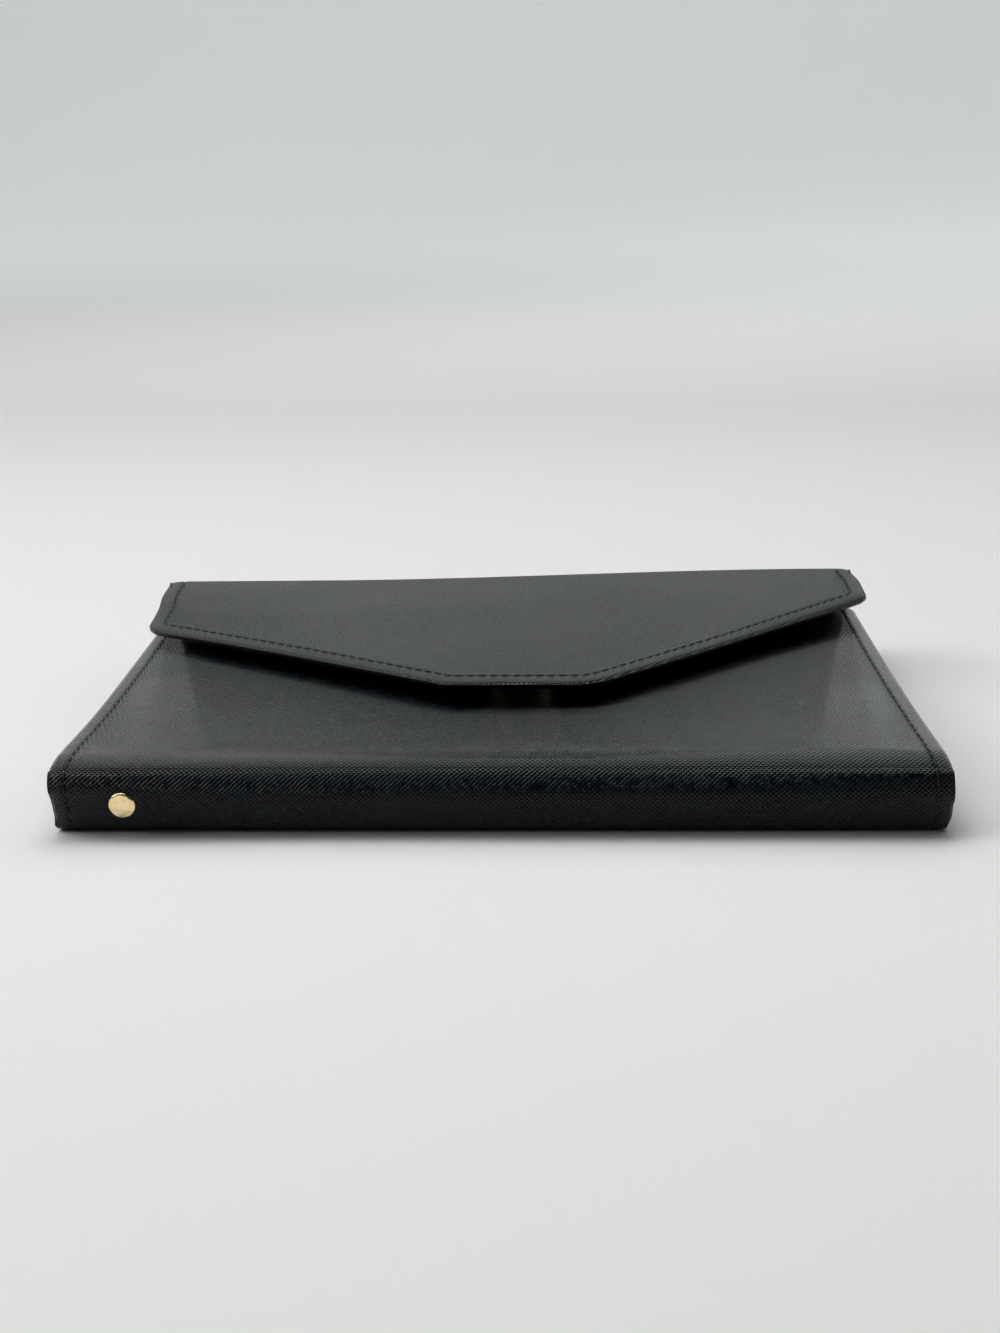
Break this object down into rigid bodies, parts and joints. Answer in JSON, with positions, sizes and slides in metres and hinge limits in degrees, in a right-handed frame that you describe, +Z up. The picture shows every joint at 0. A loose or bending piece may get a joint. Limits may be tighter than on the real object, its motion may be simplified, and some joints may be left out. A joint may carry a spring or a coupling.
{
  "type": "travel document holder",
  "caption": "Tri-fold travel wallet in black cross-grain leather: envelope flap with magnetic snap, zip pocket, passport pocket, card slots, pen loop and a riveted key strap with swivel clip.",
  "frame": {"origin": "centre of the overall box in X and Y, on the face that lies on the table", "axes": "+X along the spine away from the rivet, -Y towards the viewer (the riveted near spine), +Z up through the front cover and the flap"},
  "size_m": [0.193, 0.113, 0.0202],
  "materials": {
    "leather": "cross-grain embossed, satin",
    "board": "grey board",
    "lining": "fine woven, matt",
    "gold": "pale gold plate",
    "elastic": "ribbed elastic",
    "tape": "woven tape",
    "film": "clear film"
  },
  "bodies": {
    "back": {"back_skin": "leather", "back_board": "board", "back_lining": "lining", "boarding_pass_pocket": "leather", "card_slot_1": "leather", "card_slot_2": "leather", "card_slot_3": "leather", "zip_pocket_gusset": "leather", "zip_pocket_front": "leather", "zip_pocket_band": "leather", "zip_tape_upper": "tape", "zip_tape_lower": "tape", "zip_teeth_upper": "gold", "zip_teeth_lower": "gold", "zip_bottom_stop": "gold", "zip_top_stop_upper": "gold", "zip_top_stop_lower": "gold", "near_bottom_fold": "leather", "far_bottom_fold": "leather"},
    "spine": {"spine_skin": "leather", "spine_board": "board", "spine_lining": "lining", "rivet_cap": "gold", "rivet_base": "gold", "key_strap": "leather", "pen_loop": "elastic", "near_top_fold": "leather"},
    "front_cover": {"cover_skin": "leather", "cover_board": "board", "cover_lining": "lining", "passport_pocket": "leather", "id_window_film": "film", "id_window_frame": "leather", "snap_socket": "gold", "snap_socket_washer": "gold"},
    "far_spine": {"far_spine_skin": "leather", "far_spine_board": "board", "far_spine_lining": "lining", "far_top_fold": "leather"},
    "flap": {"flap_skin": "leather", "flap_board": "board", "flap_lining": "lining", "snap_stud": "gold", "snap_stud_washer": "gold"},
    "zip_slider": {"zip_slider_body": "gold"},
    "zip_pull": {"zip_pull_tab": "gold"},
    "clip_swivel_eye": {"clip_eye": "gold"},
    "key_clip": {"clip_hook": "gold"},
    "clip_gate": {"clip_lever": "gold"}
  },
  "joints": [
    {"name": "spine_fold", "type": "hinge", "parent": "back", "child": "spine", "pos_m": [0, -0.0545, 0.001], "axis": [1, 0, 0], "range_deg": [0, 90], "deforming": ["near_bottom_fold"]},
    {"name": "cover_fold", "type": "hinge", "parent": "spine", "child": "front_cover", "pos_m": [0, -0.05429, 0.01319], "axis": [1, 0, 0], "range_deg": [0, 90], "deforming": ["near_top_fold"]},
    {"name": "far_spine_fold", "type": "hinge", "parent": "back", "child": "far_spine", "pos_m": [0, 0.0555, 0.001], "axis": [-1, 0, 0], "range_deg": [0, 84], "deforming": ["far_bottom_fold"]},
    {"name": "flap_fold", "type": "hinge", "parent": "far_spine", "child": "flap", "pos_m": [0, 0.05529, 0.01899], "axis": [-1, 0, 0], "range_deg": [0, 90], "deforming": ["far_top_fold"]},
    {"name": "zip_slide", "type": "slide", "parent": "back", "child": "zip_slider", "axis": [0, -1, 0], "range_m": [0, 0.07], "deforming": ["zip_teeth_upper", "zip_teeth_lower"]},
    {"name": "pull_tilt", "type": "hinge", "parent": "zip_slider", "child": "zip_pull", "pos_m": [-0.0075, 0.0388, 0.00737], "axis": [-1, 0, 0], "range_deg": [0, 10]},
    {"name": "clip_swing", "type": "hinge", "parent": "spine", "child": "clip_swivel_eye", "pos_m": [-0.0544, -0.0488, 0.0067], "axis": [0, 0, 1], "range_deg": [0, 7]},
    {"name": "clip_swivel", "type": "hinge", "parent": "clip_swivel_eye", "child": "key_clip", "pos_m": [-0.047, -0.0488, 0.0067], "axis": [1, 0, 0], "continuous": true},
    {"name": "gate_swing", "type": "hinge", "parent": "key_clip", "child": "clip_gate", "pos_m": [-0.03748, -0.0488, 0.0092], "axis": [0, 1, 0], "range_deg": [0, 13], "stiffness_Nm_per_rad": 0.02, "springref_deg": -11.46}
  ]
}
